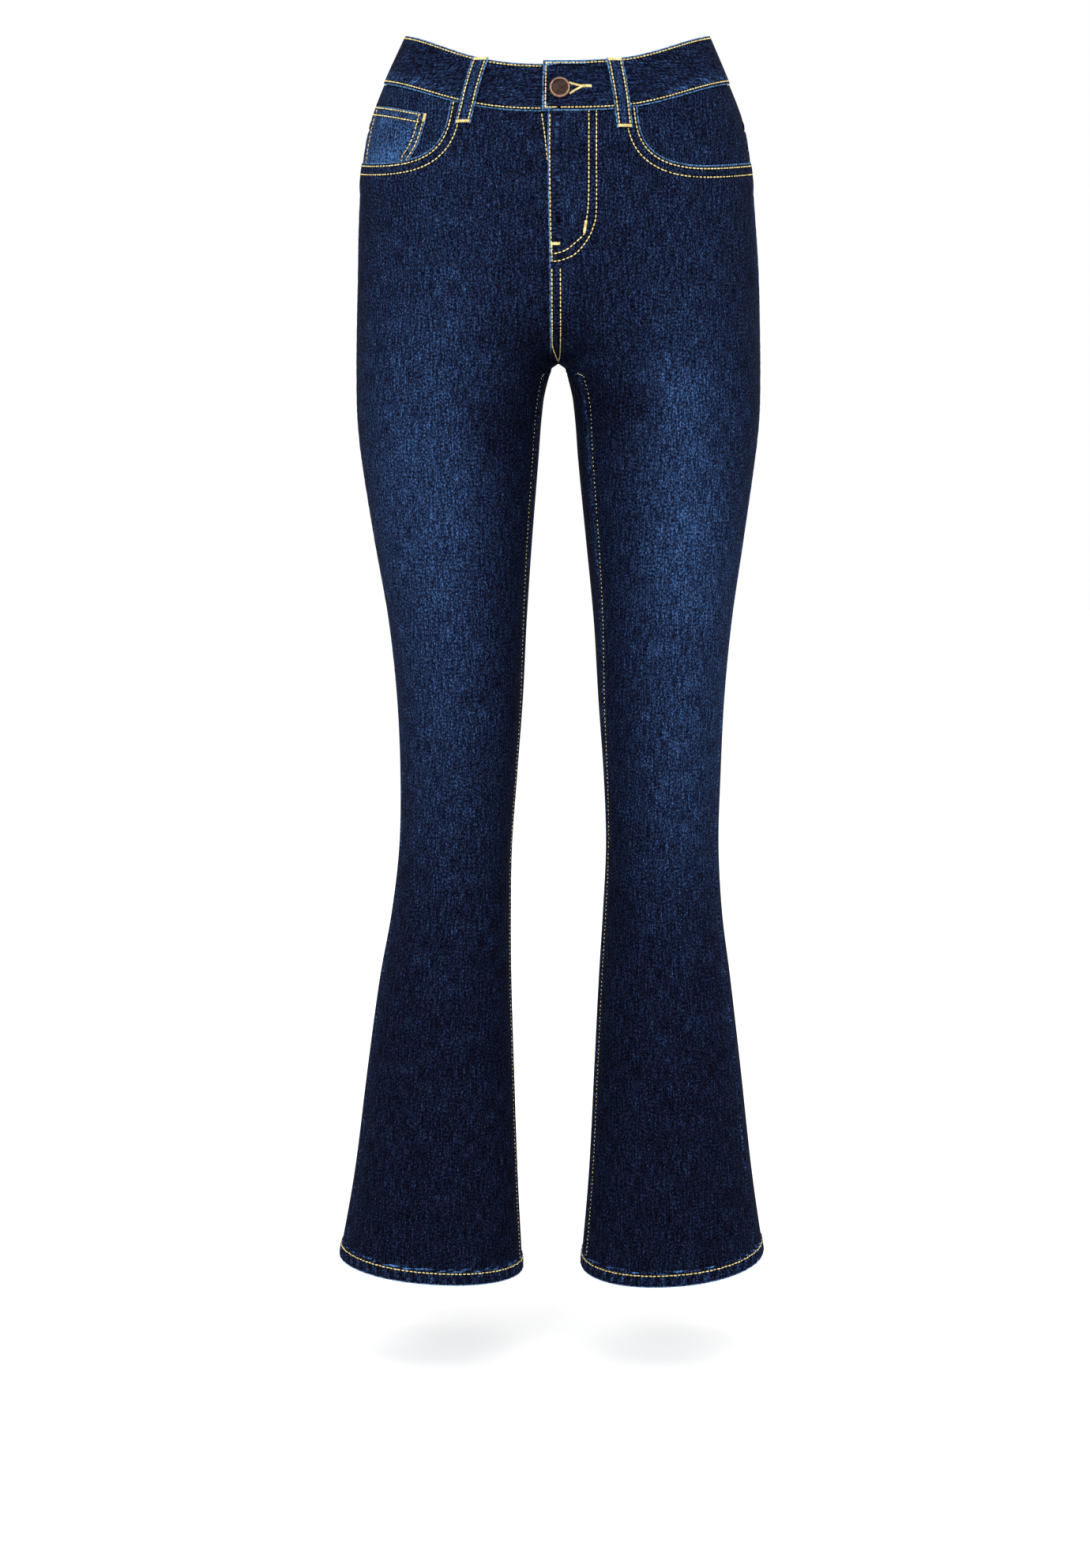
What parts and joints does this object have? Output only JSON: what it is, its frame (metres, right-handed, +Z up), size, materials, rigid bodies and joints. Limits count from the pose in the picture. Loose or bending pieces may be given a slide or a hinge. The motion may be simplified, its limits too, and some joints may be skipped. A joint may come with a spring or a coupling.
{
  "type": "bootcut jeans",
  "caption": "Worn-shape women's bootcut denim jeans with an open waist, two hollow flared legs, scoop front pockets and a buttoned fly.",
  "frame": {"origin": "middle of the waist opening, level with the top edge of the waistband at the sides", "axes": "+Z up towards the waist, -Y out of the garment's front, +X to the wearer's left"},
  "size_m": [0.3828, 0.2432, 1.0898],
  "materials": {
    "denim": "dark indigo stretch denim, faded over the thighs",
    "denim_faded": "dark indigo denim with rubbed light edges",
    "zip_brass": "aged brass zip",
    "copper": "dark antique copper tack button"
  },
  "bodies": {
    "root": {"front_left": "denim", "front_right": "denim", "back_left": "denim", "back_right": "denim", "yoke_left": "denim", "yoke_right": "denim", "back_pocket_left": "denim", "back_pocket_right": "denim", "waistband": "denim", "fly_shield": "denim", "hip_facing_left": "denim_faded", "hip_facing_right": "denim_faded", "coin_pocket": "denim_faded", "belt_loop_front_left": "denim_faded", "belt_loop_front_right": "denim_faded", "belt_loop_side_left": "denim_faded", "belt_loop_side_right": "denim_faded", "belt_loop_centre": "denim_faded", "zip": "zip_brass", "button": "copper"}
  },
  "joints": []
}
